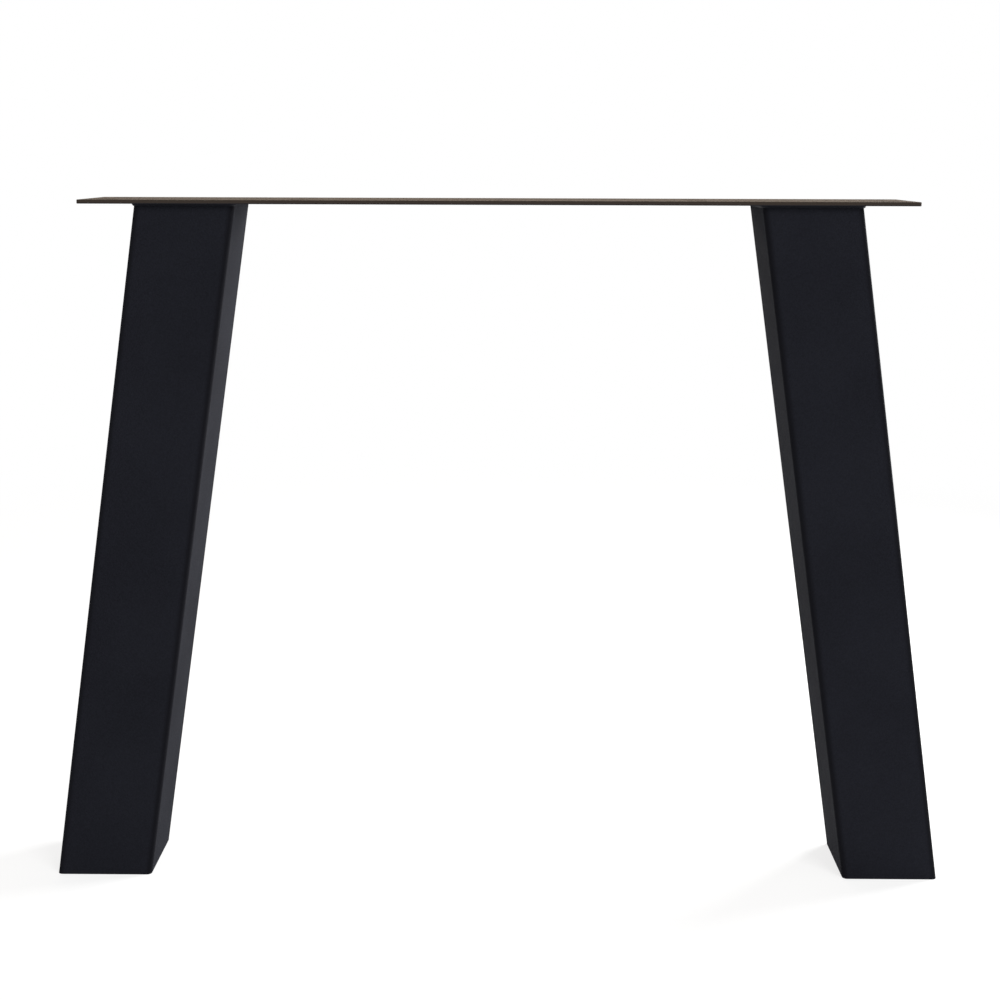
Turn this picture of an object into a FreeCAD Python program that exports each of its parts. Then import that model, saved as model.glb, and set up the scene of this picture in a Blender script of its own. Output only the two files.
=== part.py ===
import FreeCAD, Part
import math
import os
import re

import Sketcher

# Welded steel trestle leg for a dining table, in millimetres.
# Two square box-section legs lean towards each other under one flat top plate.
# Each leg is mitred top and bottom, so it meets the plate and the floor flat.
# The origin is on the floor, midway between the feet. X runs along the top plate,
# Y across its width, and Z up.

# Driving dimensions
SIZES = {
    # Whole leg
    "overall_height": 720,
    "foot_splay": 110,
    # Top plate
    "plate_length": 840,
    "plate_depth": 120,
    "plate_thickness": 4,
    "plate_corner_radius": 3,
    "plate_edge_break": 0.4,
    "plate_overhang": 55,
    # Screw holes and slots in the top plate
    "screw_row_spacing": 70,
    "screw_hole_diameter": 9,
    "screw_slot_length": 20,
    "screw_slot_width": 9,
    "inner_slot_gap": 65,
    # Box-section legs
    "tube_width": 100,
    "tube_depth": 100,
    "tube_wall": 3,
    "tube_inner_radius": 2,
    "saw_stock": 10,
    # Fillet weld under the top plate
    "head_weld_size": 2.5,
    "head_weld_crown": 0.6,
    "head_weld_toe": 0.3,
    # Plate let into each foot, and its weld
    "foot_plate_thickness": 4,
    "foot_plate_clearance": 0.5,
    "foot_weld_depth": 2,
    # Weld nut for a levelling foot
    "nut_across_flats": 17,
    "nut_height": 8,
    "nut_corner_drop": 1,
    "nut_bore_diameter": 8.5,
    "nut_collar_diameter": 12.5,
    "nut_collar_height": 1.8,
    "nut_collar_clearance": 0.15,
}

# Sizes worked out from the driving dimensions
# SLOPE is the sideways run of a leg for each millimetre of its rise.
LEG_RISE = "(overall_height - plate_thickness)"
SLOPE = f"(foot_splay / {LEG_RISE})"
LEAN = f"atan({SLOPE})"
MITRE_WIDTH = f"(tube_width / cos({LEAN}))"
HEAD_CENTRE = f"(plate_length / 2 - plate_overhang - {MITRE_WIDTH} / 2)"
FOOT_CENTRE = f"({HEAD_CENTRE} + foot_splay)"
TUBE_OUTER_RADIUS = "(tube_inner_radius + tube_wall)"
INNER_WIDTH = "(tube_width - 2 * tube_wall)"
INNER_DEPTH = "(tube_depth - 2 * tube_wall)"
SAW_REACH = f"(tube_width / 2 * abs({SLOPE}) + saw_stock)"
FOOT_PLATE_RUN = f"(foot_plate_thickness * {SLOPE})"
FOOT_PLATE_WIDTH = (
    f"({INNER_WIDTH} / cos({LEAN}) - abs({FOOT_PLATE_RUN}) - 2 * foot_plate_clearance)"
)
FOOT_PLATE_DEPTH = f"({INNER_DEPTH} - 2 * foot_plate_clearance)"
FOOT_PLATE_RADIUS = "(tube_inner_radius + foot_weld_depth)"
NUT_HOLE_DIAMETER = "(nut_collar_diameter + 2 * nut_collar_clearance)"

# The side of the origin that each leg stands on
SIDES = {"left": -1, "right": 1}

# How close two heights must be to count as the same
SAME_HEIGHT = 1e-6

FULL_TURN = 360
NUT_SIDES = 6

document = FreeCAD.newDocument("TrestleTableLeg")
sheet = document.addObject("Spreadsheet::Sheet", "Sizes")
for row, (alias, size) in enumerate(SIZES.items(), start=1):
    sheet.set(f"A{row}", alias.replace("_", " "))
    sheet.set(f"B{row}", str(size))
    sheet.setAlias(f"B{row}", alias)
document.recompute()


# Expressions, sketches and features

def bound(text):
    """Write an expression on the sheet's cells from one on their plain names."""
    return re.sub(r"[a-z_]+", lambda word: f"Sizes.{word[0]}" if word[0] in SIZES else word[0], text)


def value(text):
    """Work out an expression with the sheet's present values."""
    result = sheet.evalExpression(bound(text))
    return getattr(result, "Value", result)


def shifted(x="0", y="0", z="0", turn="0"):
    """Write a placement: a shift, and a turn in degrees about Y."""
    return bound(f"placement(vector({x}; {y}; {z}); rotation(vector(0; 1; 0); {turn}))")


def new_body(label, place=None):
    """Start one piece, with its place on the whole leg."""
    body = document.addObject("PartDesign::Body", label)
    body.Label = label
    if place:
        body.setExpression("Placement", place)
    return body


def origin_plane(body, role):
    """Find one of a piece's own origin planes."""
    return [item for item in body.Origin.OriginFeatures if item.Role == role][0]


def new_sketch(body, name, plane="XY_Plane", offset=None):
    """Start a sketch on one of the piece's own origin planes."""
    sketch = body.newObject("Sketcher::SketchObject", name)
    sketch.AttachmentSupport = [(origin_plane(body, plane), "")]
    sketch.MapMode = "FlatFace"
    if offset:
        sketch.setExpression("AttachmentOffset", offset)
    return sketch


def dimension(sketch, kind, references, text):
    """Add a dimension that follows an expression."""
    index = sketch.addConstraint(Sketcher.Constraint(kind, *references, value(text)))
    sketch.setExpression(f"Constraints[{index}]", bound(text))


def add_line(sketch, start, end):
    """Draw a straight line, and return its number in the sketch."""
    segment = Part.LineSegment(FreeCAD.Vector(*start, 0), FreeCAD.Vector(*end, 0))
    return sketch.addGeometry(segment, False)


def add_arc(sketch, centre, radius, first_degrees, last_degrees):
    """Draw an arc that runs anticlockwise, and return its number in the sketch."""
    circle = Part.Circle(FreeCAD.Vector(*centre, 0), FreeCAD.Vector(0, 0, 1), radius)
    arc = Part.ArcOfCircle(circle, math.radians(first_degrees), math.radians(last_degrees))
    return sketch.addGeometry(arc, False)


def rounded_rectangle(sketch, width, depth, radius):
    """Draw a rectangle with round corners, centred on the sketch's origin."""
    half_x = value(width) / 2
    half_y = value(depth) / 2
    corner = value(radius)
    in_x = half_x - corner
    in_y = half_y - corner
    top = add_line(sketch, (-in_x, half_y), (in_x, half_y))
    right = add_line(sketch, (half_x, in_y), (half_x, -in_y))
    bottom = add_line(sketch, (in_x, -half_y), (-in_x, -half_y))
    left = add_line(sketch, (-half_x, -in_y), (-half_x, in_y))
    top_right = add_arc(sketch, (in_x, in_y), corner, 0, 90)
    bottom_right = add_arc(sketch, (in_x, -in_y), corner, 270, 360)
    bottom_left = add_arc(sketch, (-in_x, -in_y), corner, 180, 270)
    top_left = add_arc(sketch, (-in_x, in_y), corner, 90, 180)
    # Each arc runs anticlockwise, so a line's end meets the next arc's far end.
    loop = [
        (top, top_right, right),
        (right, bottom_right, bottom),
        (bottom, bottom_left, left),
        (left, top_left, top),
    ]
    for before, arc, after in loop:
        sketch.addConstraint(Sketcher.Constraint("Tangent", before, 2, arc, 2))
        sketch.addConstraint(Sketcher.Constraint("Tangent", arc, 1, after, 1))
    for flat in (top, bottom):
        sketch.addConstraint(Sketcher.Constraint("Horizontal", flat))
    for upright in (left, right):
        sketch.addConstraint(Sketcher.Constraint("Vertical", upright))
    for arc in (bottom_right, bottom_left, top_left):
        sketch.addConstraint(Sketcher.Constraint("Equal", top_right, arc))
    sketch.addConstraint(Sketcher.Constraint("Symmetric", top_right, 3, bottom_left, 3, -1, 1))
    dimension(sketch, "Radius", (top_right,), radius)
    dimension(sketch, "DistanceX", (left, 1, right, 2), width)
    dimension(sketch, "DistanceY", (bottom, 1, top, 2), depth)


def slot_outline(sketch, centre_x, centre_y, length, width):
    """Draw a slot with round ends that runs along X."""
    end_radius = f"({width} / 2)"
    half_run = f"(({length} - {width}) / 2)"
    x, y = value(centre_x), value(centre_y)
    radius, run = value(end_radius), value(half_run)
    far = add_arc(sketch, (x + run, y), radius, -90, 90)
    near = add_arc(sketch, (x - run, y), radius, 90, 270)
    upper = add_line(sketch, (x + run, y + radius), (x - run, y + radius))
    lower = add_line(sketch, (x - run, y - radius), (x + run, y - radius))
    sketch.addConstraint(Sketcher.Constraint("Tangent", far, 2, upper, 1))
    sketch.addConstraint(Sketcher.Constraint("Tangent", upper, 2, near, 1))
    sketch.addConstraint(Sketcher.Constraint("Tangent", near, 2, lower, 1))
    sketch.addConstraint(Sketcher.Constraint("Tangent", lower, 2, far, 1))
    dimension(sketch, "Radius", (far,), end_radius)
    dimension(sketch, "DistanceX", (far, 3), f"{centre_x} + {half_run}")
    dimension(sketch, "DistanceY", (far, 3), centre_y)
    dimension(sketch, "DistanceX", (near, 3), f"{centre_x} - {half_run}")
    dimension(sketch, "DistanceY", (near, 3), centre_y)


def circle_outline(sketch, diameter, centre_y="0"):
    """Draw a circle on the sketch's Y axis."""
    centre = FreeCAD.Vector(0, value(centre_y), 0)
    circle = sketch.addGeometry(Part.Circle(centre, FreeCAD.Vector(0, 0, 1), value(diameter) / 2), False)
    dimension(sketch, "Diameter", (circle,), diameter)
    dimension(sketch, "DistanceX", (circle, 3), "0")
    dimension(sketch, "DistanceY", (circle, 3), centre_y)


def straight_outline(sketch, corners):
    """Draw a closed outline of straight lines through corners given as expressions."""
    points = [(value(x), value(y)) for x, y in corners]
    lines = [add_line(sketch, points[i - 1], points[i]) for i in range(len(points))]
    next_lines = lines[1:] + lines[:1]
    for line, next_line, (x, y) in zip(lines, next_lines, corners):
        sketch.addConstraint(Sketcher.Constraint("Coincident", line, 2, next_line, 1))
        dimension(sketch, "DistanceX", (line, 2), x)
        dimension(sketch, "DistanceY", (line, 2), y)


def pad(body, sketch, length, reverse=False):
    """Raise a sketch into a solid."""
    feature = body.newObject("PartDesign::Pad", f"{sketch.Name}_pad")
    feature.Profile = sketch
    feature.setExpression("Length", bound(length))
    feature.Reversed = reverse
    body.Tip = feature
    document.recompute()
    return feature


def cut_through(body, sketch):
    """Cut a sketch's outline right through a piece, to both sides of the sketch."""
    volume_before = body.Shape.Volume
    feature = body.newObject("PartDesign::Pocket", f"{sketch.Name}_cut")
    feature.Profile = sketch
    feature.SideType = "Two sides"
    feature.Type = "ThroughAll"
    feature.Type2 = "ThroughAll"
    body.Tip = feature
    document.recompute()
    if not body.Shape.Volume < volume_before:
        raise RuntimeError(f"{feature.Name} removes nothing from {body.Label}")
    return feature


def loft(body, kind, sections):
    """Join a row of sections with straight-sided walls, adding or removing material."""
    feature = body.newObject(f"PartDesign::{kind}", f"{sections[0].Name}_loft")
    feature.Profile = sections[0]
    feature.Sections = sections[1:]
    feature.Ruled = True
    body.Tip = feature
    document.recompute()


def level_edges(shape, height=None):
    """Name a shape's level edges, at one height or at any."""
    names = []
    for number, edge in enumerate(shape.Edges, start=1):
        box = edge.BoundBox
        at_height = height is None or abs(box.ZMin - height) < SAME_HEIGHT
        if box.ZLength < SAME_HEIGHT and at_height:
            names.append(f"Edge{number}")
    return names


def chamfer(body, feature, edges, size):
    """Break a feature's edges at 45 degrees."""
    bevel = body.newObject("PartDesign::Chamfer", f"{feature.Name}_bevel")
    bevel.Base = (feature, edges)
    bevel.setExpression("Size", bound(size))
    body.Tip = bevel
    document.recompute()


# Top plate

def make_top_plate():
    """Cut the flat plate, break its edges, and pierce its screw holes and slots."""
    body = new_body("top_plate", shifted(z=LEG_RISE))
    outline = new_sketch(body, "plate_outline")
    rounded_rectangle(outline, "plate_length", "plate_depth", "plate_corner_radius")
    blank = pad(body, outline, "plate_thickness")
    chamfer(body, blank, level_edges(blank.Shape), "plate_edge_break")

    # The middle pair of round holes holds the table top at its centre.
    holes = new_sketch(body, "middle_holes")
    for side in (-1, 1):
        circle_outline(holes, "screw_hole_diameter", f"{side} * screw_row_spacing / 2")
    cut_through(body, holes)

    # The slots let a wooden top swell and shrink. The outer pair sits on the ledge
    # outside the leg, and the inner pair clears the leg's inner face.
    slots = new_sketch(body, "end_slots")
    outer = "(plate_length / 2 - plate_overhang / 2)"
    inner = "(plate_length / 2 - plate_overhang - tube_width - inner_slot_gap)"
    for centre in (outer, inner):
        for side in (-1, 1):
            row_y = f"{side} * screw_row_spacing / 2"
            slot_outline(slots, centre, row_y, "screw_slot_length", "screw_slot_width")
    right_slots = cut_through(body, slots)

    volume_before = body.Shape.Volume
    left_slots = body.newObject("PartDesign::Mirrored", "left_slots")
    left_slots.Originals = [right_slots]
    left_slots.MirrorPlane = (origin_plane(body, "YZ_Plane"), [""])
    body.Tip = left_slots
    document.recompute()
    if not body.Shape.Volume < volume_before:
        raise RuntimeError("the left slots remove nothing from the top plate")
    return body


# Mitred legs

def leg_frame(side):
    """Place a piece on a leg's own axis, with its origin at the foot's centre."""
    return shifted(x=f"{side} * {FOOT_CENTRE}", turn=leg_turn(side))


def leg_turn(side):
    """Give the turn about Y that leans a leg towards the middle."""
    return f"({-side} * {LEAN})"


def level_in_leg(side, height, x="0"):
    """Place a level sketch in a leg's frame, at a height above the floor."""
    turn = leg_turn(side)
    along_x = f"({x}) * cos({turn}) - ({height}) * sin({turn})"
    along_z = f"({x}) * sin({turn}) + ({height}) * cos({turn})"
    return shifted(x=along_x, z=along_z, turn=f"-1 * {turn}")


def mitre(body, name, side, height, keep_above):
    """Saw a leg-frame piece along a level plane, and discard one side."""
    turn = leg_turn(side)
    half = "(tube_width / 2 + saw_stock)"
    middle = f"({height}) / cos({turn})"
    far = f"{middle} {'-' if keep_above else '+'} 2 * {SAW_REACH}"
    corners = [
        (f"-1 * {half}", f"{middle} - {half} * tan({turn})"),
        (half, f"{middle} + {half} * tan({turn})"),
        (half, far),
        (f"-1 * {half}", far),
    ]
    blade = new_sketch(body, name, "XZ_Plane")
    straight_outline(blade, corners)
    return cut_through(body, blade)


def make_leg_tube(name, side):
    """Cut a length of square box section, and mitre both of its ends level."""
    body = new_body(f"leg_tube_{name}", leg_frame(side))
    section = new_sketch(body, f"{name}_section", offset=shifted(z=f"-1 * {SAW_REACH}"))
    rounded_rectangle(section, "tube_width", "tube_depth", TUBE_OUTER_RADIUS)
    rounded_rectangle(section, INNER_WIDTH, INNER_DEPTH, "tube_inner_radius")
    pad(body, section, f"{LEG_RISE} / cos({LEAN}) + 2 * {SAW_REACH}")
    mitre(body, f"{name}_foot_mitre", side, "0", keep_above=True)
    mitre(body, f"{name}_head_mitre", side, LEG_RISE, keep_above=False)
    return body


# Weld under the top plate

def make_head_weld(name, side):
    """Lay the fillet weld that runs round a leg, under the top plate."""
    body = new_body(f"head_weld_{name}", shifted(x=f"{side} * {HEAD_CENTRE}", z=LEG_RISE))
    # The bead's face swells a little between its leg on the plate and its toe on the tube.
    profile = [
        ("0", "head_weld_size"),
        ("(head_weld_size / 2)", "(head_weld_size * head_weld_crown)"),
        ("head_weld_size", "head_weld_toe"),
    ]
    sections = []
    for level, (drop, reach) in enumerate(profile):
        place = shifted(x=f"{side} * {drop} * {SLOPE}", z=f"-1 * {drop}")
        sketch = new_sketch(body, f"{name}_bead_section_{level}", offset=place)
        width = f"({MITRE_WIDTH} + 2 * {reach})"
        depth = f"(tube_depth + 2 * {reach})"
        rounded_rectangle(sketch, width, depth, f"({TUBE_OUTER_RADIUS} + {reach})")
        sections.append(sketch)
    loft(body, "AdditiveLoft", sections)

    # The leg stands in the middle of the bead.
    tube = new_sketch(body, f"{name}_leg_in_bead", offset=shifted(turn=leg_turn(side)))
    rounded_rectangle(tube, "tube_width", "tube_depth", TUBE_OUTER_RADIUS)
    cut_through(body, tube)
    return body


# Plate in the foot, its weld, and the nut for a levelling foot

def make_foot_plate(name, side):
    """Cut the plate that closes a foot, with a weld groove round its lower edge."""
    middle = f"{side} * ({FOOT_CENTRE} - {FOOT_PLATE_RUN} / 2)"
    body = new_body(f"foot_plate_{name}", shifted(x=middle))
    outline = new_sketch(body, f"{name}_foot_outline")
    rounded_rectangle(outline, FOOT_PLATE_WIDTH, FOOT_PLATE_DEPTH, FOOT_PLATE_RADIUS)
    blank = pad(body, outline, "foot_plate_thickness")
    chamfer(body, blank, level_edges(blank.Shape, 0), "foot_weld_depth")
    hole = new_sketch(body, f"{name}_nut_hole")
    circle_outline(hole, NUT_HOLE_DIAMETER)
    cut_through(body, hole)
    return body


def make_foot_weld(name, side):
    """Fill the groove between a leg and its foot plate, ground flush with the floor."""
    body = new_body(f"foot_weld_{name}", leg_frame(side))
    inside = new_sketch(body, f"{name}_groove_outline", offset=shifted(z=f"-1 * {SAW_REACH}"))
    rounded_rectangle(inside, INNER_WIDTH, INNER_DEPTH, "tube_inner_radius")
    pad(body, inside, f"2 * {SAW_REACH} + foot_weld_depth / cos({LEAN})")
    mitre(body, f"{name}_weld_base", side, "0", keep_above=True)
    mitre(body, f"{name}_weld_root", side, "foot_weld_depth", keep_above=False)

    # The groove's inner wall is the bevelled edge of the foot plate.
    plate_middle = f"{side} * -1 * {FOOT_PLATE_RUN} / 2"
    levels = [
        ("0", "2 * foot_weld_depth", "tube_inner_radius"),
        ("foot_weld_depth", "0", FOOT_PLATE_RADIUS),
    ]
    sections = []
    for level, (height, bevel, radius) in enumerate(levels):
        place = level_in_leg(side, height, plate_middle)
        sketch = new_sketch(body, f"{name}_plate_section_{level}", offset=place)
        rounded_rectangle(
            sketch, f"({FOOT_PLATE_WIDTH} - {bevel})", f"({FOOT_PLATE_DEPTH} - {bevel})", radius
        )
        sections.append(sketch)
    loft(body, "SubtractiveLoft", sections)
    return body


def make_leveller_nut(name, side):
    """Make the hexagon weld nut, whose collar sits in the foot plate's hole."""
    middle = f"{side} * ({FOOT_CENTRE} - {FOOT_PLATE_RUN} / 2)"
    body = new_body(f"leveller_nut_{name}", shifted(x=middle, z="foot_plate_thickness"))
    corner_radius = "(nut_across_flats / sqrt(3))"
    hexagon = new_sketch(body, f"{name}_hexagon")
    corners = []
    for corner in range(NUT_SIDES):
        angle = f"{corner * FULL_TURN / NUT_SIDES} deg"
        corners.append((f"{corner_radius} * cos({angle})", f"{corner_radius} * sin({angle})"))
    straight_outline(hexagon, corners)
    pad(body, hexagon, "nut_height")

    # A cone takes the sharp corners off the nut's upper face.
    flat_radius = "(nut_across_flats / 2)"
    relief = new_sketch(body, f"{name}_corner_relief", "XZ_Plane")
    slope = f"(nut_corner_drop / ({corner_radius} - {flat_radius}))"
    over = "nut_corner_drop"
    corners = [
        (flat_radius, "nut_height"),
        (f"{corner_radius} + {over}", f"nut_height - nut_corner_drop - {over} * {slope}"),
        (f"{corner_radius} + {over}", "nut_height"),
    ]
    straight_outline(relief, corners)
    groove = body.newObject("PartDesign::Groove", f"{name}_corner_cut")
    groove.Profile = relief
    groove.ReferenceAxis = (relief, ["V_Axis"])
    groove.Angle = FULL_TURN
    volume_before = body.Shape.Volume
    body.Tip = groove
    document.recompute()
    if not body.Shape.Volume < volume_before:
        raise RuntimeError("the corner relief removes nothing from the nut")

    collar = new_sketch(body, f"{name}_collar")
    circle_outline(collar, "nut_collar_diameter")
    pad(body, collar, "nut_collar_height", reverse=True)
    bore = new_sketch(body, f"{name}_bore")
    circle_outline(bore, "nut_bore_diameter")
    cut_through(body, bore)
    return body


# The whole leg

pieces = [make_top_plate()]
for name, side in SIDES.items():
    pieces.append(make_leg_tube(name, side))
    pieces.append(make_head_weld(name, side))
    pieces.append(make_foot_plate(name, side))
    pieces.append(make_foot_weld(name, side))
    pieces.append(make_leveller_nut(name, side))
document.recompute()

for item in document.Objects:
    if "Invalid" in item.State or "Error" in item.State:
        raise RuntimeError(f"{item.Label} did not build: {item.State}")
for piece in pieces:
    if piece.Shape.isNull() or not piece.Shape.isValid():
        raise RuntimeError(f"{piece.Label} has no valid shape")

os.makedirs("parts", exist_ok=True)
for piece in pieces:
    piece.Shape.exportStep(f"parts/{piece.Label}.step")
    box = piece.Shape.BoundBox
    print(
        f"{piece.Label:20s} solids {len(piece.Shape.Solids)}  volume {piece.Shape.Volume:11.1f}  "
        f"x {box.XMin:8.2f} {box.XMax:8.2f}  y {box.YMin:7.2f} {box.YMax:7.2f}  "
        f"z {box.ZMin:7.2f} {box.ZMax:7.2f}"
    )
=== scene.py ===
# %% [markdown]
# A trestle table leg, dressed for its picture
#
# The leg is a welded steel frame: two square box-section legs lean towards each other
# and carry a flat top plate. The construction is already there as a fixed frame, so this
# lesson only adds what the eye reads as steel and paint: the matt black powder coat, the
# rippled weld beads, the cut threads, and the light. The frame is loaded first, because
# every later piece takes its place from it.

# %% Load the frame
import math
import random

import bpy
from mathutils import Matrix, Vector


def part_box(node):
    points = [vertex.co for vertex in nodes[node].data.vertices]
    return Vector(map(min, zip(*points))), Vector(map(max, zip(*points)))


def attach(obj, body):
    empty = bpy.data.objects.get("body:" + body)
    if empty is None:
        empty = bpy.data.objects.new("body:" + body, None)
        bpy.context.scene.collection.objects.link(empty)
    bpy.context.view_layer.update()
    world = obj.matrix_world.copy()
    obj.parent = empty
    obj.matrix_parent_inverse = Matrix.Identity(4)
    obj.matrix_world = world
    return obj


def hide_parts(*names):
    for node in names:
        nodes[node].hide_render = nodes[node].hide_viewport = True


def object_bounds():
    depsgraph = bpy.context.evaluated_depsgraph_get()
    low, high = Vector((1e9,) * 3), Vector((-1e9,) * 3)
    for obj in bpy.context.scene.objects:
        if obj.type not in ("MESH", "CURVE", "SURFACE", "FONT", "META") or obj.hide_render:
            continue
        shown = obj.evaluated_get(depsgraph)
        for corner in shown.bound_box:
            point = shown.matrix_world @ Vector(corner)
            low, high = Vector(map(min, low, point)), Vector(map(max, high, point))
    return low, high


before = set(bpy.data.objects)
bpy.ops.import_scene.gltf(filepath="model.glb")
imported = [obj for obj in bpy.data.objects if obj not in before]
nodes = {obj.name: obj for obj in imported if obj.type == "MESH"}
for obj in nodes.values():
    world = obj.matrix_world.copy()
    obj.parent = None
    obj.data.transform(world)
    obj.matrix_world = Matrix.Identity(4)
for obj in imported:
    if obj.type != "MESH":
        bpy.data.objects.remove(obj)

cad_low, cad_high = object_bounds()
SIDES = {"left": -1, "right": 1}
MM = 0.001
print("pieces in the frame:", ", ".join(sorted(nodes)))
print("box in mm:", [round(c / MM, 1) for c in cad_high - cad_low])

# %% [markdown]
# Sizes
#
# Everything that is modelled or painted here has to sit on the real metal. Its sizes could
# be typed in, but then they would go wrong when the leg changes, so the corners of the plate
# and the side of the section are read from the frame's own boxes. Two sizes of the legs
# can't be read from a box, the splay of their feet and the corner radius of their section,
# so they are named once. The lean follows from the splay and the rise, as on the drawing.

# %% Read the main sizes
plate_low, plate_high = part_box("top_plate")
tube_low, tube_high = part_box("leg_tube_left")
PLATE_UNDERSIDE = plate_low.z
TUBE_SIDE = tube_high.y - tube_low.y
FOOT_SPLAY = 110 * MM
TUBE_CORNER = 5 * MM
LEAN = math.atan(FOOT_SPLAY / PLATE_UNDERSIDE)
MITRE_WIDTH = TUBE_SIDE / math.cos(LEAN)
HEAD_OUTER = cad_high.x - FOOT_SPLAY
HEAD_CENTRE = HEAD_OUTER - MITRE_WIDTH / 2
print("section side", round(TUBE_SIDE / MM, 2), "mm, lean", round(math.degrees(LEAN), 3), "degrees")
print("centre of a leg at the plate:", round(HEAD_CENTRE / MM, 2), "mm from the middle")

# %% [markdown]
# Writing shader maths as sums
#
# A finish is a graph of nodes, and most of its nodes are plain sums. They could be wired
# by hand, one Math node at a time, but then nobody can read the formula. A small class
# that stands for a socket turns an expression such as 1 - mask into the Math nodes that
# it needs.

# %% A socket that can be used in a sum
class Signal:
    """One output socket of a finish, which adds, subtracts and multiplies like a number."""

    def __init__(self, finish, socket):
        self.finish = finish
        self.socket = socket

    def maths(self, operation, first, second):
        """A Math node on two signals or numbers."""
        return self.finish.node("ShaderNodeMath", {"operation": operation}, {0: first, 1: second})

    def __add__(self, other):
        return self.maths("ADD", self, other)

    def __radd__(self, other):
        return self.maths("ADD", other, self)

    def __sub__(self, other):
        return self.maths("SUBTRACT", self, other)

    def __rsub__(self, other):
        return self.maths("SUBTRACT", other, self)

    def __mul__(self, other):
        return self.maths("MULTIPLY", self, other)

    def __rmul__(self, other):
        return self.maths("MULTIPLY", other, self)

    def size(self):
        """This value without its sign."""
        return self.finish.node("ShaderNodeMath", {"operation": "ABSOLUTE"}, {0: self})

    def root(self):
        """The square root of this value."""
        return self.finish.node("ShaderNodeMath", {"operation": "SQRT"}, {0: self})

    def least(self, other):
        """The smaller of this value and another."""
        return self.maths("MINIMUM", self, other)

    def most(self, other):
        """The larger of this value and another."""
        return self.maths("MAXIMUM", self, other)

    def ramp(self, start, end, low=0.0, high=1.0):
        """Turns smoothly from low to high while this signal goes from start to end."""
        places = {"Value": self, "From Min": start, "From Max": end, "To Min": low, "To Max": high}
        return self.finish.node("ShaderNodeMapRange", {"interpolation_type": "SMOOTHSTEP"}, places)


print("a socket can now add, subtract and multiply")

# %% [markdown]
# Making every other node
#
# Noise, colour mixing and the shaders themselves aren't sums. Each kind could have a helper
# of its own, but they all need the same two things: settings first, because they change
# which sockets a node has, and then values or links for its sockets. So one method makes
# them all, and the few that are used again and again get a short name on top of it. A
# socket goes by its name, or by its number where several sockets of a node share one name,
# as they do on a Mix node.

# %% A finish and its one way to make a node
MIX_SHARE = 0
MIX_FIRST_COLOUR = 6
MIX_SECOND_COLOUR = 7
MIX_RESULT_COLOUR = 2


class Finish:
    """The nodes of one material, or of the world."""

    def __init__(self, owner):
        owner.use_nodes = True
        self.owner = owner
        self.tree = owner.node_tree
        self.tree.nodes.clear()

    def add(self, kind, settings=None, values=None):
        """Makes a node, sets it up, and then fills or links its sockets."""
        made = self.tree.nodes.new(kind)
        for name, setting in (settings or {}).items():
            setattr(made, name, setting)
        for name, value in (values or {}).items():
            if isinstance(value, Signal):
                self.tree.links.new(value.socket, made.inputs[name])
            else:
                made.inputs[name].default_value = value
        return made

    def node(self, kind, settings=None, values=None, out=0):
        """Makes a node and gives one of its outputs, the first if none is named, as a signal."""
        return Signal(self, self.add(kind, settings, values).outputs[out])

    def place(self):
        """Where a point lies on the metal, in metres."""
        return self.node("ShaderNodeTexCoord", out="Object")

    def coordinates(self, place):
        """The three coordinates of a place, as signals."""
        parts = self.add("ShaderNodeSeparateXYZ", None, {"Vector": place})
        return [Signal(self, output) for output in parts.outputs]

    def noise(self, place, grain, detail=2.0):
        """Random clouds whose spots are about grain metres across."""
        values = {"Vector": place, "Scale": 1 / grain, "Detail": detail}
        return self.node("ShaderNodeTexNoise", None, values)

    def stretched(self, place, factors):
        """The same place, multiplied by one factor for each axis."""
        return self.node("ShaderNodeVectorMath", {"operation": "MULTIPLY"}, {0: place, 1: factors})

    def tint(self, mask, plain, painted):
        """A colour that turns from plain to painted as the mask goes from 0 to 1."""
        values = {MIX_SHARE: mask, MIX_FIRST_COLOUR: plain, MIX_SECOND_COLOUR: painted}
        return self.node("ShaderNodeMix", {"data_type": "RGBA"}, values, out=MIX_RESULT_COLOUR)


print("a finish can now make any node, and a noise, a stretch or a tint by name")

# %% [markdown]
# Colours
#
# A colour is easiest to pick on a screen, as three levels from 0 to 255. A shader works in
# amounts of light instead. The amounts could be typed in, but nobody can picture them, so a
# short function turns the levels into light along the standard screen curve, which is a
# straight line in the deepest shade and a power curve above it.

# %% Screen colours
LAST_LEVEL = 255
LINE_END = 0.04045
LINE_SLOPE = 12.92
CURVE_OFFSET = 0.055
CURVE_POWER = 2.4


def screen_colour(red, green, blue):
    """A colour picked on a screen, 0 to 255, as the light values that a shader works in."""
    def light(level):
        share = level / LAST_LEVEL
        if share <= LINE_END:
            return share / LINE_SLOPE
        return ((share + CURVE_OFFSET) / (1 + CURVE_OFFSET)) ** CURVE_POWER
    return (light(red), light(green), light(blue), 1.0)


print("middle grey gives", round(screen_colour(128, 128, 128)[0], 3), "of the light")
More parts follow.
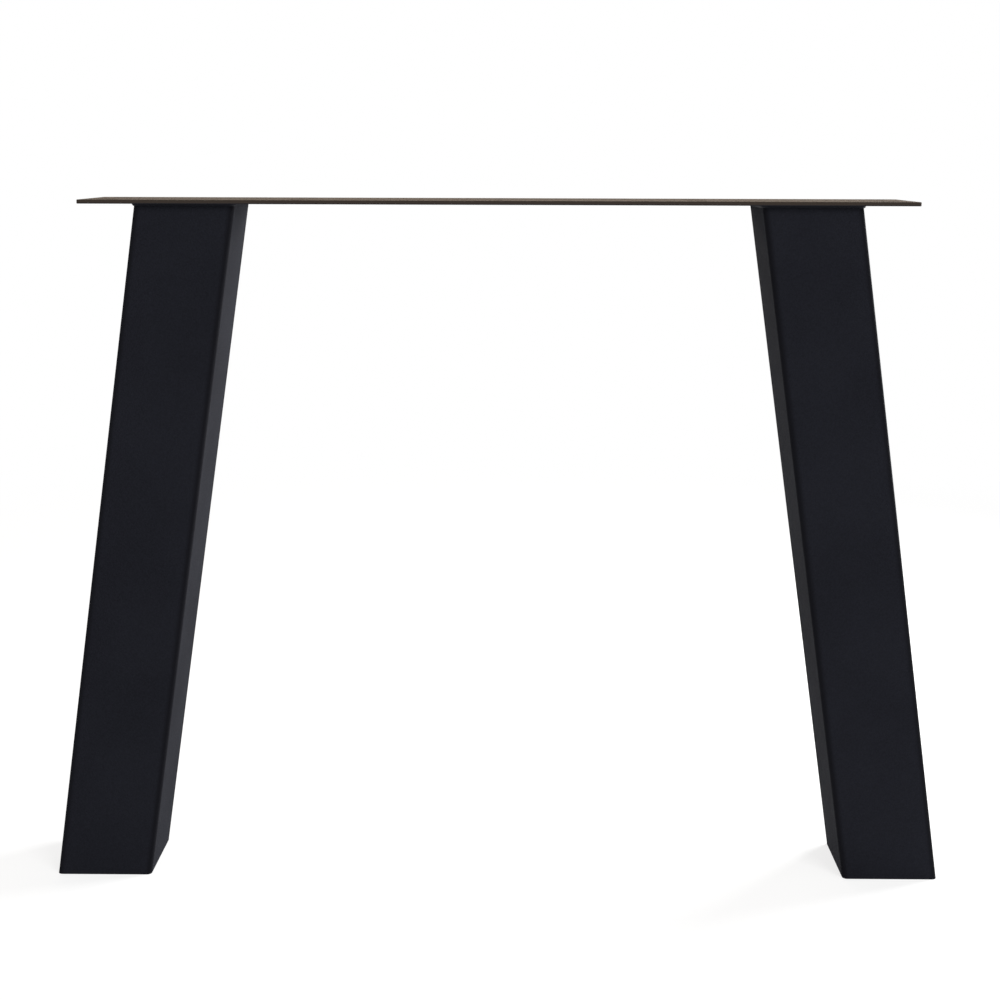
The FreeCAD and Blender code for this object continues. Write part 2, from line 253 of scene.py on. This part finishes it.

# %% [markdown]
# The powder coat
#
# The real leg is sprayed with dry epoxy-polyester powder and baked. A fine-structure black
# powder never flows out smooth: it sets as a skin of tiny pebbles, a little under a
# millimetre each, over slow waves a few millimetres long. A glossy black shader would look
# wrong at once. So the coat is a rough dielectric with three layers of height: pebbles,
# their finer grit, and slow waves. The pits between the pebbles get a painted shade, darker
# than the tops, the grit makes the gloss uneven, and faint clouds about as wide as a hand
# vary the tone and the gloss. Every layer is fixed to the metal's own coordinates in metres,
# so the grain has its true size on every piece.

# %% Coat sizes and tones
COAT_BLACK = screen_colour(27, 28, 34)
# The pit colour is painted shade for the pits between the pebbles.
COAT_PAINTED_PIT_SHADE = screen_colour(13, 13, 17)
COAT_GLOSS = 0.05
COAT_ROUGHNESS = 0.9
COAT_RELIEF = 0.22
COAT_PEBBLE = 0.9 * MM
COAT_GRIT = 0.4 * MM
COAT_WAVE = 4.0 * MM
COAT_CLOUD = 90 * MM
PIT_BOTTOM = 0.32
PIT_RIM = 0.64
PIT_SHADE = 0.4
CLOUD_START = 0.35
CLOUD_END = 0.7
CLOUD_SHADE = 0.15
NOISE_MIDDLE = 0.5
GRIT_ROUGHNESS = 0.6
CLOUD_ROUGHNESS = 0.12
GRIT_SHARE = 0.35
WAVE_SHARE = 0.9
print("pebbles of", round(COAT_PEBBLE / MM, 2), "mm stand up to", COAT_RELIEF, "mm high")

# %% [markdown]
# The coat as a recipe
#
# All the coated pieces share this coat, but each shows it a little differently: with painted
# shade on a leg's corners, a painted warm reflection on the plate, or over a ground weld. So
# the recipe is a function with the few things that change as its arguments. It stops before
# the relief is wired, so that a piece can still add its own marks to the height.

# %% Coat recipe
def powder_coat(name, shade=COAT_BLACK, pit_painted_colour=COAT_PAINTED_PIT_SHADE, roughness=COAT_ROUGHNESS, relief=COAT_RELIEF,
                colour_masks=()):
    """Fine-structure powder coat. Returns the finish, its shader node and its height in mm.

    Each of colour_masks is a mask, its colour and its share: painted shade, painted reflection or plain
    coat.
    """
    finish = Finish(bpy.data.materials.new(name))
    place = finish.place()
    pebbles = finish.noise(place, COAT_PEBBLE, detail=1.5)
    grit = finish.noise(place, COAT_GRIT, detail=1.0)
    waves = finish.noise(place, COAT_WAVE, detail=1.0)
    clouds = finish.noise(place, COAT_CLOUD, detail=2.5)
    # Painted shade in the pits, plus a random tone from the clouds.
    shade_painted_in_pits = pebbles.ramp(PIT_BOTTOM, PIT_RIM, low=1.0, high=0.0) * PIT_SHADE
    painted_shade_and_cloud_tone = shade_painted_in_pits + clouds.ramp(CLOUD_START, CLOUD_END) * CLOUD_SHADE
    uneven = (grit - NOISE_MIDDLE) * GRIT_ROUGHNESS
    uneven_slowly = (clouds - NOISE_MIDDLE) * CLOUD_ROUGHNESS
    colour = finish.tint(painted_shade_and_cloud_tone, shade, pit_painted_colour)
    for mask, mask_colour, mask_share in colour_masks:
        colour = finish.tint(mask(finish, place) * mask_share, colour, mask_colour)
    height = pebbles * relief + grit * (relief * GRIT_SHARE) + waves * (relief * WAVE_SHARE)
    shader = finish.add("ShaderNodeBsdfPrincipled", None, {
        "Base Color": colour,
        "Roughness": roughness + uneven + uneven_slowly,
        "Specular IOR Level": COAT_GLOSS,
    })
    return finish, shader, height


deepest = COAT_RELIEF * (1 + GRIT_SHARE + WAVE_SHARE)
print("all three layers together are up to", round(deepest, 2), "mm deep")

# %% [markdown]
# Wearing a finish
#
# A finish is closed when its height is known. The height goes through a bump node, which
# leans the shading without moving the metal. Heights are plain numbers of millimetres,
# because the Distance of the node is one millimetre. Moving the surface itself would need
# millions of points for pebbles this small. The closed finish then goes into the material
# slots of a piece of the frame, whose shape stays as it is.

# %% Close a finish and put it on
def close_finish(finish, shader, height):
    """Gives the shader its relief, in millimetres, and joins it to the material's output."""
    relief = finish.node("ShaderNodeBump", None, {"Height": height, "Distance": MM, "Strength": 1.0})
    finish.tree.links.new(relief.socket, shader.inputs["Normal"])
    finish.add("ShaderNodeOutputMaterial", None, {"Surface": Signal(finish, shader.outputs[0])})
    return finish.owner


def wear(piece_name, material):
    """Puts a finish on a piece of the frame."""
    for slot in nodes[piece_name].material_slots:
        slot.material = material
    print(piece_name, "wears", material.name)


print("pieces that can wear a finish:", len(nodes))

# %% [markdown]
# The legs
#
# On a leg the colour isn't the same all over. The long rounded corners of the section, where
# the faces turn away from the light, get a painted shade that makes them blacker. It could be
# an image mask, but the section is known, so the mask is worked out: a point is turned into
# the leg's own leaning frame, and it lies on a corner when it is far from the middle both
# ways.

# %% Leg coat
# Painted shade on the long rounded corners of the legs, and how much of it shows.
PAINTED_CORNER_SHADE_COLOUR = screen_colour(14, 14, 18)
CORNER_BAND = 3.0 * MM
CORNER_RIDGE = 2.0 * MM
CORNER_START = TUBE_SIDE / 2 - TUBE_CORNER - CORNER_BAND
CORNER_END = TUBE_SIDE / 2 - CORNER_RIDGE
PAINTED_LIGHT_SHARE = 0.85


def leg_corners(side):
    """Makes the mask of one leg's four long corners."""
    def mask(finish, place):
        x, y, z = finish.coordinates(place)
        middle = HEAD_CENTRE + (PLATE_UNDERSIDE - z) * math.tan(LEAN)
        across = ((x * side - middle) * math.cos(LEAN)).size()
        return across.least(y.size()).ramp(CORNER_START, CORNER_END)
    return mask


for side_name, side in SIDES.items():
    # Each leg gets painted shade on its four long corners.
    painted_corner_shade = (leg_corners(side), PAINTED_CORNER_SHADE_COLOUR, PAINTED_LIGHT_SHARE)
    coat = powder_coat(f"leg_coat_{side_name}", colour_masks=[painted_corner_shade])
    wear(f"leg_tube_{side_name}", close_finish(*coat))

# %% [markdown]
# The top plate
#
# The plate is cut from 4 mm sheet and coated with the rest. Its upper face and its rim get a
# painted warm reflection, a grey-brown cast that the legs don't have, lighter still on the
# rim, and at the low angle from which a table leg is usually seen the upper face turns into a
# pale, dusty strip. A brighter colour alone would also be bright from above. A sheen lobe adds
# its light only at grazing angles, so the strip is pale where it should be. The lower face,
# with no painted reflection, is as black as the legs.

# %% Plate coat
# The plate's colour holds a painted warm reflection, lighter on the rim, and painted shade in its pits.
PLATE_PAINTED_WARM_REFLECTION = screen_colour(43, 39, 36)
PLATE_PAINTED_PIT_SHADE = screen_colour(26, 22, 19)
PLATE_RIM_PAINTED_REFLECTION = screen_colour(53, 46, 41)
PLATE_ROUGHNESS = 0.75
PLATE_RIM = 2.2 * MM
UNDERSIDE_START = PLATE_UNDERSIDE + 0.2 * MM
UNDERSIDE_END = PLATE_UNDERSIDE + 1.4 * MM
ALL_OVER = 1.0
PLATE_GLOSS = {
    "Specular IOR Level": 0.03,
    "Sheen Weight": 0.07,
    "Sheen Roughness": 0.45,
    "Sheen Tint": (1.0, 0.76, 0.56, 1.0),
}


def plate_rim(finish, place):
    """Makes the mask of the plate's outer edges."""
    x, y = finish.coordinates(place)[:2]
    beyond_x = x.size().ramp(plate_high.x - PLATE_RIM, plate_high.x)
    beyond_y = y.size().ramp(plate_high.y - PLATE_RIM, plate_high.y)
    return beyond_x.most(beyond_y)


def plate_underside(finish, place):
    """Makes the mask of the plate's lower face and the foot of its edges."""
    z = finish.coordinates(place)[2]
    return 1 - z.ramp(UNDERSIDE_START, UNDERSIDE_END)


# Painted reflection on the rim, and the lower face in the plain black coat.
plate_colour_masks = [(plate_rim, PLATE_RIM_PAINTED_REFLECTION, PAINTED_LIGHT_SHARE), (plate_underside, COAT_BLACK, ALL_OVER)]
plate_coat = powder_coat("plate_coat", PLATE_PAINTED_WARM_REFLECTION, PLATE_PAINTED_PIT_SHADE, PLATE_ROUGHNESS, colour_masks=plate_colour_masks)
plate_shader = plate_coat[1]
for socket, value in PLATE_GLOSS.items():
    plate_shader.inputs[socket].default_value = value
wear("top_plate", close_finish(*plate_coat))

# %% [markdown]
# Foot plates and their ground weld
#
# Each leg is closed at the floor by a plate let into its end. The weld round it is ground
# level with a flap disc before coating, and a coat of powder doesn't hide the disc's fine
# marks. They could be cut as real grooves, but they are finer than the pebbles of the coat.
# So they are noise that is drawn out along one direction until it turns into scratches,
# added to the coat's height: deep on the weld, and shallow where the disc ran out over the
# plate.

# %% Foot coats
FOOT_ROUGHNESS = 0.7
FOOT_RELIEF = 0.16
GRIND_SPACING = 0.7 * MM
GRIND_DIRECTION = (0.07, 1.0, 1.0)
GRIND_DEPTH = {"foot_plate": 0.05, "foot_weld": 0.16}


def foot_coat(piece, depth):
    """The coat over the marks of the grinding disc."""
    finish, shader, height = powder_coat(f"{piece}_coat", roughness=FOOT_ROUGHNESS, relief=FOOT_RELIEF)
    marks = finish.noise(finish.stretched(finish.place(), GRIND_DIRECTION), GRIND_SPACING)
    return close_finish(finish, shader, height + marks * depth)


for piece, depth in GRIND_DEPTH.items():
    coat = foot_coat(piece, depth)
    for side_name in SIDES:
        wear(f"{piece}_{side_name}", coat)

# %% [markdown]
# The weld beads under the plate
#
# A fillet weld joins each leg to the plate all the way round. The frame holds it as a
# plain ring, but a real bead is laid pool by pool. It could be bump on the ring, but the
# ripples show in outline where the bead turns a corner, so it is built as a strip of
# sections along the mitred outline of the leg. The outline is the leg's rounded square,
# stretched sideways by the lean, because the leg is cut level. First comes a function that
# walks round that square.

# %% Outline of a leg where it meets the plate
TUBE_STRAIGHT = TUBE_SIDE - 2 * TUBE_CORNER
TUBE_BEND = TUBE_CORNER * math.pi / 2
OUTLINE_LENGTH = 4 * (TUBE_STRAIGHT + TUBE_BEND)


def outline_point(distance):
    """A point of the rounded square at a distance along it, and the direction outwards."""
    turn, rest = divmod(distance, TUBE_STRAIGHT + TUBE_BEND)
    if rest < TUBE_STRAIGHT:
        place = Vector((rest - TUBE_STRAIGHT / 2, -TUBE_SIDE / 2))
        facing = -math.pi / 2
    else:
        facing = -math.pi / 2 + (rest - TUBE_STRAIGHT) / TUBE_CORNER
        corner = Vector((TUBE_STRAIGHT / 2, -TUBE_STRAIGHT / 2))
        place = corner + TUBE_CORNER * Vector((math.cos(facing), math.sin(facing)))
    quarter = Matrix.Rotation(turn * math.pi / 2, 2)
    outwards = quarter @ Vector((math.cos(facing), math.sin(facing)))
    return quarter @ place, outwards


print("the bead runs", round(OUTLINE_LENGTH / MM, 1), "mm round each leg")

# %% [markdown]
# The face of the bead
#
# Each pool of the weld freezes as a curved ripple, about two millimetres from the last,
# and lags behind at the middle of the face, where the metal stays hot longest. The welder's
# hand wanders a little too. The ripples could be sculpted by hand, but a bead has nearly two
# hundred of them. So a formula lifts the face by its crown and its ripples, which rise
# steeply and fall off slowly, and slow random curves, fixed by their seeds, shift its two
# toes and its rhythm.

# %% Shape of the bead's face
BEAD_SIZE = PLATE_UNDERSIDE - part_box("head_weld_left")[0].z
BEAD_SKIN = 0.1 * MM
BEAD_CROWN = 0.28 * MM
BEAD_BITE = 0.2 * MM
BEAD_WANDER = 0.18 * MM
RIPPLE_PITCH = 2.0 * MM
RIPPLE_COUNT = round(OUTLINE_LENGTH / RIPPLE_PITCH)
RIPPLE_HEIGHT = 0.4 * MM
RIPPLE_LAG = 0.8
RIPPLE_WANDER = 0.35
RIPPLE_RISE = 6
RIPPLE_FALL = 0.8
RIPPLE_AT_TOES = 0.35
FACE_STEPS = 12


def slow_wander(seed, waves=5):
    """A smooth random curve round the outline, from -1 to 1, that closes on itself."""
    chance = random.Random(seed)
    parts = [(chance.randint(2, 17), chance.uniform(0, 2 * math.pi)) for _ in range(waves)]

    def value(distance):
        angle = 2 * math.pi * distance / OUTLINE_LENGTH
        return sum(math.sin(count * angle + start) for count, start in parts) / waves
    return value


def face_lift(belly, phase):
    """How far the face stands out, from its belly (0 at a toe, 1 midway) and its ripple's phase."""
    pool = (phase + RIPPLE_LAG * belly) % 1.0
    ridge = (1 - pool) ** RIPPLE_FALL * min(1.0, pool * RIPPLE_RISE)
    ripple = RIPPLE_HEIGHT * ridge * (RIPPLE_AT_TOES + (1 - RIPPLE_AT_TOES) * belly)
    return BEAD_SKIN + BEAD_CROWN * belly + ripple


def bead_section(distance, wander):
    """The bead's section at one place, as pairs: how far out, and how far down the wall."""
    phase = RIPPLE_COUNT * distance / OUTLINE_LENGTH + RIPPLE_WANDER * wander["pitch"](distance)
    wall_leg = BEAD_SIZE - BEAD_WANDER * (1 - wander["wall"](distance))
    plate_leg = BEAD_SIZE - BEAD_WANDER * (1 - wander["plate"](distance))
    points = [(-BEAD_BITE, wall_leg)]
    for step in range(FACE_STEPS + 1):
        share = step / FACE_STEPS
        lift_each_way = face_lift(4 * share * (1 - share), phase) / math.sqrt(2)
        points.append((plate_leg * share + lift_each_way, wall_leg * (1 - share) + lift_each_way))
    points.append((plate_leg, -BEAD_BITE))
    points.append((-BEAD_BITE, -BEAD_BITE))
    return points


print("each bead has", RIPPLE_COUNT, "ripples")

# %% [markdown]
# From sections to a mesh
#
# Both the bead and the nut are closed strips: rows of points whose ends meet both ways. They
# could be swept along curves, but a formula that gives each row is shorter, and it leaves no
# seams or stray faces. Two helpers turn rows of points into an object.

# %% Mesh helpers
def mesh_piece(name, points, faces, material, smooth=True):
    """Makes an object from points and faces, with one finish."""
    mesh = bpy.data.meshes.new(name)
    mesh.from_pydata(points, [], faces)
    mesh.materials.append(material)
    mesh.polygons.foreach_set("use_smooth", [smooth] * len(mesh.polygons))
    mesh.update()
    piece = bpy.data.objects.new(name, mesh)
    bpy.context.scene.collection.objects.link(piece)
    print(name, "has", len(faces), "faces")
    return piece


def ring_faces(rows, columns):
    """Four-sided faces of a strip that closes both ways, facing outwards."""
    faces = []
    for row in range(rows):
        for column in range(columns):
            below = row * columns
            above = (row + 1) % rows * columns
            after = (column + 1) % columns
            faces.append((above + column, above + after, below + after, below + column))
    return faces


print("a strip of 3 rows and 4 columns has", len(ring_faces(3, 4)), "faces")

# %% [markdown]
# Laying both beads
#
# Sections could follow a curve, but at this size each one is simply put in its place, about
# every quarter of a millimetre, so each ripple gets nearly eight of them. A section's root
# is the corner between leg and plate: outwards runs level along the plate, and down runs
# along the leaning wall. The bead bites a little into both, as a weld does. It stands for
# the plain ring of the frame, and takes the same coat, a little smoother and with a finer
# relief, so that the powder doesn't drown the ripples.

# %% Build both beads
SECTION_STEP = 0.26 * MM
BEAD_ROUGHNESS = 0.6
BEAD_RELIEF = 0.08
BEAD_SEED = 40
SEED_STEP = 7


def weld_bead(side_name, side, material):
    """The rippled bead between one leg and the plate."""
    wander = {}
    for number, use in enumerate(("pitch", "wall", "plate")):
        wander[use] = slow_wander(BEAD_SEED + side + SEED_STEP * number)
    rows = round(OUTLINE_LENGTH / SECTION_STEP)
    down = Vector((side * math.sin(LEAN), 0, -math.cos(LEAN)))
    points = []
    for row in range(rows):
        distance = OUTLINE_LENGTH * row / rows
        place, outwards = outline_point(distance)
        root = Vector((side * HEAD_CENTRE + place.x / math.cos(LEAN), place.y, PLATE_UNDERSIDE))
        out = Vector((outwards.x, outwards.y, 0))
        points += [root + out * far + down * low for far, low in bead_section(distance, wander)]
    faces = ring_faces(rows, len(points) // rows)
    bead = mesh_piece(f"weld_bead_{side_name}", points, faces, material)
    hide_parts(f"head_weld_{side_name}")
    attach(bead, "root")


bead_coat = close_finish(*powder_coat("bead_coat", roughness=BEAD_ROUGHNESS, relief=BEAD_RELIEF))
for side_name, side in SIDES.items():
    weld_bead(side_name, side, bead_coat)

# %% [markdown]
# The threaded nuts in the feet
#
# A hexagon weld nut sits in each foot plate and takes the stem of a levelling foot. The
# frame holds it with a plain bore. Its thread is a helix cut into the bore, which could be
# swept along a spiral and subtracted, but a bore is simply a radius for each angle and
# height. So two short formulas are enough: one for the six flats, and one for the thread
# with its flat crests and narrow roots.

# %% Flats and thread of the nut
NUT_FLATS = 17 * MM
BORE_RADIUS = 8.5 * MM / 2
THREAD_RADIUS = 10 * MM / 2
THREAD_PITCH = 1.5 * MM
CREST_SHARE = 0.25
FLANK_SHARE = 0.62


def hexagon(angle):
    """How far the six flats stand from the axis in this direction."""
    within = (angle + math.pi / 6) % (math.pi / 3) - math.pi / 6
    return NUT_FLATS / 2 / math.cos(within)


def thread(angle, height):
    """The radius of the thread: a flat crest, a flank, a narrow root and a flank."""
    turn = (height / THREAD_PITCH - angle / (2 * math.pi)) % 1.0
    from_crest = (0.5 - abs(turn - 0.5)) * 2
    depth = min(1.0, max(0.0, (from_crest - CREST_SHARE) / FLANK_SHARE))
    return BORE_RADIUS + depth * (THREAD_RADIUS - BORE_RADIUS)


print("the thread is", round((THREAD_RADIUS - BORE_RADIUS) / MM, 2), "mm deep")

# %% [markdown]
# The nut as a net of rings
#
# The whole nut is one closed net: up the thread, out over the chamfered top, down the six
# flats and in along the collar that sits in the foot plate. Where a cone takes the corners
# off the hexagon, a ring follows the flats or the cone, whichever is nearer to the axis,
# which draws the curved scallops of a real nut by itself.

# %% Rings of the nut
COLLAR_RADIUS = 12.5 * MM / 2
COLLAR_CHAMFER = 0.35 * MM
COLLAR_HEIGHT = 1.8 * MM
LEAD_IN_RADIUS = 5.25 * MM
THREAD_ROWS_PER_TURN = 14
CONE_SLOPE = math.tan(math.radians(30))
CONE_STEPS = [step * MM for step in (0.0, 0.25, 0.5, 0.8, 1.1, 1.5)]
UPPER_CONE_RADIUS = NUT_FLATS / 2 * 0.96
LOWER_CONE_RADIUS = NUT_FLATS / 2 * 0.99


def cone_ring(height, radius):
    """A ring on the flats or on the cone, whichever is nearer to the axis."""
    return lambda angle: (min(hexagon(angle), radius), height)


def thread_ring(height, lead_in):
    """A ring on the thread, opened out by the lead-in at both ends."""
    return lambda angle: (max(thread(angle, height), lead_in), height)


def round_ring(height, radius):
    """A plain round ring."""
    return lambda angle: (radius, height)


def nut_rings(low, high):
    """Every ring of the net, as functions that give radius and height for an angle."""
    flats_low = low + COLLAR_HEIGHT
    thread_rows = round((high - low) / THREAD_PITCH * THREAD_ROWS_PER_TURN)
    rings = []
    for row in range(thread_rows + 1):
        height = low + (high - low) * row / thread_rows
        rings.append(thread_ring(height, LEAD_IN_RADIUS - min(height - low, high - height)))
    for drop in CONE_STEPS:
        rings.append(cone_ring(high - drop, UPPER_CONE_RADIUS + drop / CONE_SLOPE))
    for rise in reversed(CONE_STEPS[:-1]):
        rings.append(cone_ring(flats_low + rise, LOWER_CONE_RADIUS + rise / CONE_SLOPE))
    rings.append(round_ring(flats_low, COLLAR_RADIUS))
    rings.append(round_ring(low + COLLAR_CHAMFER, COLLAR_RADIUS))
    rings.append(round_ring(low, COLLAR_RADIUS - COLLAR_CHAMFER))
    return rings


nut_low, nut_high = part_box("leveller_nut_left")
print("each nut has", len(nut_rings(nut_low.z, nut_high.z)), "rings")

# %% [markdown]
# Bare steel
#
# The thread is plugged while the powder goes on, so the nut keeps its bare turned steel.
# Metal is all reflection: its colour tints the reflection, and its roughness tells how it
# was worked. Fine turning lines run round the axis. Scratches drawn along one direction
# would be wrong on a round piece, so the noise is read in rings instead, through the
# distance from the axis and the height.

# %% Steel finish
STEEL = screen_colour(176, 174, 168)
STEEL_DULL = screen_colour(112, 108, 101)
STEEL_ROUGHNESS = 0.26
RING_ROUGHNESS = 0.16
STAIN_ROUGHNESS = 0.12
RING_RELIEF = 0.02
RING_SPACING = 0.12 * MM
STAIN_WIDTH = 3.0 * MM
STAIN_START = 0.42
STAIN_END = 0.72


def turned_steel(name, axis_x):
    """Turned steel with rings about an upright axis."""
    finish = Finish(bpy.data.materials.new(name))
    place = finish.place()
    x, y, z = finish.coordinates(place)
    off_axis = x - axis_x
    radius = (off_axis * off_axis + y * y).root()
    ring_place = finish.node("ShaderNodeCombineXYZ", None, {"X": radius, "Y": z})
    rings = finish.noise(ring_place, RING_SPACING)
    stains = finish.noise(place, STAIN_WIDTH, detail=3.0)
    shader = finish.add("ShaderNodeBsdfPrincipled", None, {
        "Base Color": finish.tint(stains.ramp(STAIN_START, STAIN_END), STEEL, STEEL_DULL),
        "Roughness": STEEL_ROUGHNESS + rings * RING_ROUGHNESS + stains * STAIN_ROUGHNESS,
        "Metallic": 1.0,
    })
    return close_finish(finish, shader, rings * RING_RELIEF)


print("turning lines are about", round(RING_SPACING / MM, 2), "mm apart")

# %% [markdown]
# Setting both nuts
#
# A nut could be built at the origin and then moved, but its points can as well be worked out
# where it stands. So each net is turned into points round the axis of the frame's own nut,
# found as the middle of its box, and it sits in its foot plate with no fitting. The faces
# stay flat: a smooth shade would round off the edges of the hexagon.

# %% Build both nuts
NUT_COLUMNS = 120


def weld_nut(side_name):
    """The threaded nut of one foot, which stands for the plain one of the frame."""
    low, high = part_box(f"leveller_nut_{side_name}")
    axis = (low + high) / 2
    rings = nut_rings(low.z, high.z)
    points = []
    for ring in rings:
        for column in range(NUT_COLUMNS):
            angle = 2 * math.pi * column / NUT_COLUMNS
            radius, height = ring(angle)
            points.append((axis.x + radius * math.cos(angle), axis.y + radius * math.sin(angle), height))
    faces = ring_faces(len(rings), NUT_COLUMNS)
    steel = turned_steel(f"nut_steel_{side_name}", axis.x)
    nut = mesh_piece(f"threaded_nut_{side_name}", points, faces, steel, smooth=False)
    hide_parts(f"leveller_nut_{side_name}")
    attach(nut, "root")


for side_name in SIDES:
    weld_nut(side_name)

# %% [markdown]
# The background
#
# The picture is a cut-out on white. A white that came from strong lamps would also bleach
# the black coat, so the background is white in itself: for the camera, and for glossy and
# transmitted rays, the world glows with a strength of 1, while for all other rays it is a
# calm studio grey.

# %% World
STUDIO_GREY = 0.42
WHITE = (1.0, 1.0, 1.0, 1.0)
SEEN_RAYS = ("Is Camera Ray", "Is Glossy Ray", "Is Transmission Ray")


def seen_rays(finish):
    """1 for rays from the camera or from gloss or glass, 0 for the light that bounces about."""
    path = finish.add("ShaderNodeLightPath")
    camera_ray, glossy_ray, glass_ray = (Signal(finish, path.outputs[name]) for name in SEEN_RAYS)
    return (camera_ray + glossy_ray + glass_ray).least(1.0)


world = bpy.data.worlds.new("studio")
bpy.context.scene.world = world
sky = Finish(world)
sky_strength = STUDIO_GREY + seen_rays(sky) * (1 - STUDIO_GREY)
sky_glow = sky.node("ShaderNodeBackground", None, {"Color": WHITE, "Strength": sky_strength})
sky.add("ShaderNodeOutputWorld", None, {"Surface": sky_glow})
print("the world is white for the camera and", STUDIO_GREY, "for the light")

# %% [markdown]
# The floor
#
# Near the leg the floor is a real pale surface that keeps a soft shadow. A plain white
# floor would be grey at these lamps, so it glows a little for the camera, and further away
# it fades into the same white as the world. Seen from below, it is clear, so that the feet
# can be looked at from there too.

# %% Floor
FLOOR_REACH = 30.0
FLOOR_DROP = 0.2 * MM
FLOOR_COLOUR = 0.62
FLOOR_SEEN_COLOUR = 0.28
FLOOR_GLOW = 0.74
FADE_START = 0.9
FADE_END = 2.6

floor_finish = Finish(bpy.data.materials.new("studio_floor"))
floor_distance = floor_finish.node(
    "ShaderNodeVectorMath", {"operation": "LENGTH"}, {0: floor_finish.place()}, out="Value")
fade = floor_distance.ramp(FADE_START, FADE_END)
floor_seen = seen_rays(floor_finish)
pale_seen = FLOOR_SEEN_COLOUR * (1 - fade)
pale = FLOOR_COLOUR * (1 - floor_seen) + pale_seen * floor_seen
floor_grey = {"Red": pale, "Green": pale, "Blue": pale}
floor_colour = floor_finish.node("ShaderNodeCombineColor", None, floor_grey)
floor_paint = floor_finish.node("ShaderNodeBsdfDiffuse", None, {"Color": floor_colour})
glow = floor_seen * (FLOOR_GLOW + fade * (1 - FLOOR_GLOW))
floor_glow = floor_finish.node("ShaderNodeEmission", None, {"Strength": glow})
floor_both = floor_finish.node("ShaderNodeAddShader", None, {0: floor_paint, 1: floor_glow})
underneath = floor_finish.node("ShaderNodeNewGeometry", out="Backfacing")
see_through = floor_finish.node("ShaderNodeBsdfTransparent")
floor_sides = {0: underneath, 1: floor_both, 2: see_through}
floor_face = floor_finish.node("ShaderNodeMixShader", None, floor_sides)
floor_finish.add("ShaderNodeOutputMaterial", None, {"Surface": floor_face})

floor_corners = [Vector((x, y, 0)) * FLOOR_REACH for x, y in ((-1, -1), (1, -1), (1, 1), (-1, 1))]
floor_points = [corner - Vector((0, 0, FLOOR_DROP)) for corner in floor_corners]
floor = mesh_piece("floor", floor_points, [(0, 1, 2, 3)], floor_finish.owner, smooth=False)

# %% [markdown]
# Lamps
#
# Soft boxes are large area lamps. One bare lamp could light the leg as well, but its small
# hard highlight and shadow would look wrong on matt paint. The key and the fill stand to the
# front right and the front left, and light the two leg fronts evenly. A smaller box at the
# right, a little behind, washes the inner side of the left leg, which would otherwise vanish
# into the front, and leaves that of the right leg darker. A warm one far behind the leg
# skims the top plate.

# %% Lamps
AIM = Vector((0, 0, 0.4))
DAYLIGHT = (1.0, 1.0, 1.0)
WARM = (1.0, 0.82, 0.66)


def soft_box(name, place, width, height, watts, colour=DAYLIGHT):
    """An area lamp that looks at the middle of the leg."""
    lamp = bpy.data.lights.new(name, "AREA")
    lamp.shape = "RECTANGLE"
    lamp.size = width
    lamp.size_y = height
    lamp.energy = watts
    lamp.color = colour
    box = bpy.data.objects.new(name, lamp)
    box.location = place
    box.rotation_euler = (AIM - Vector(place)).to_track_quat("-Z", "Y").to_euler()
    box.visible_camera = False
    bpy.context.scene.collection.objects.link(box)
    print(name, "gives", watts, "W")


soft_box("key_box", place=(1.7, -2.8, 2.1), width=1.6, height=1.6, watts=72)
soft_box("side_box", place=(1.5, 0.9, 0.8), width=1.0, height=1.0, watts=74)
soft_box("fill_box", place=(-2.3, -2.3, 1.4), width=1.8, height=1.8, watts=34)
soft_box("back_box", place=(-0.4, 2.9, 1.9), width=2.6, height=0.8, watts=22, colour=WARM)

# %% [markdown]
# Camera
#
# The camera stands where the photographer stood. It could be placed by eye, but a single
# degree of tilt already shows on so plain a shape. So its place, tilt and lens were found by
# fitting the straight edges of the leg, at their real size, to the picture. It looks down
# by a little over eleven degrees from just above the plate, which is why the top of the
# plate is only a thin strip. Its three directions are worked out one after the other: the
# turn, then the tilt, then the small roll.

# %% Camera
CAMERA_PLACE = Vector((16.4, -1774.8, 762.4)) * MM
CAMERA_TURN = math.radians(-0.458)
CAMERA_TILT = math.radians(11.375)
CAMERA_ROLL = math.radians(0.175)
LENS = 61.32

ahead = Vector((math.sin(CAMERA_TURN), math.cos(CAMERA_TURN), 0))
sideways = Vector((math.cos(CAMERA_TURN), -math.sin(CAMERA_TURN), 0))
upright = Vector((0, 0, 1))
look = ahead * math.cos(CAMERA_TILT) - upright * math.sin(CAMERA_TILT)
level_up = upright * math.cos(CAMERA_TILT) + ahead * math.sin(CAMERA_TILT)
right = sideways * math.cos(CAMERA_ROLL) + level_up * math.sin(CAMERA_ROLL)
up = level_up * math.cos(CAMERA_ROLL) - sideways * math.sin(CAMERA_ROLL)

camera_data = bpy.data.cameras.new("camera")
camera_data.lens = LENS
camera = bpy.data.objects.new("camera", camera_data)
turned = Matrix((right, up, -look)).transposed().to_4x4()
camera.matrix_world = Matrix.Translation(CAMERA_PLACE) @ turned
bpy.context.scene.collection.objects.link(camera)
bpy.context.scene.camera = camera
bpy.context.scene.view_settings.view_transform = "Standard"
print("camera at", [round(c, 3) for c in CAMERA_PLACE])
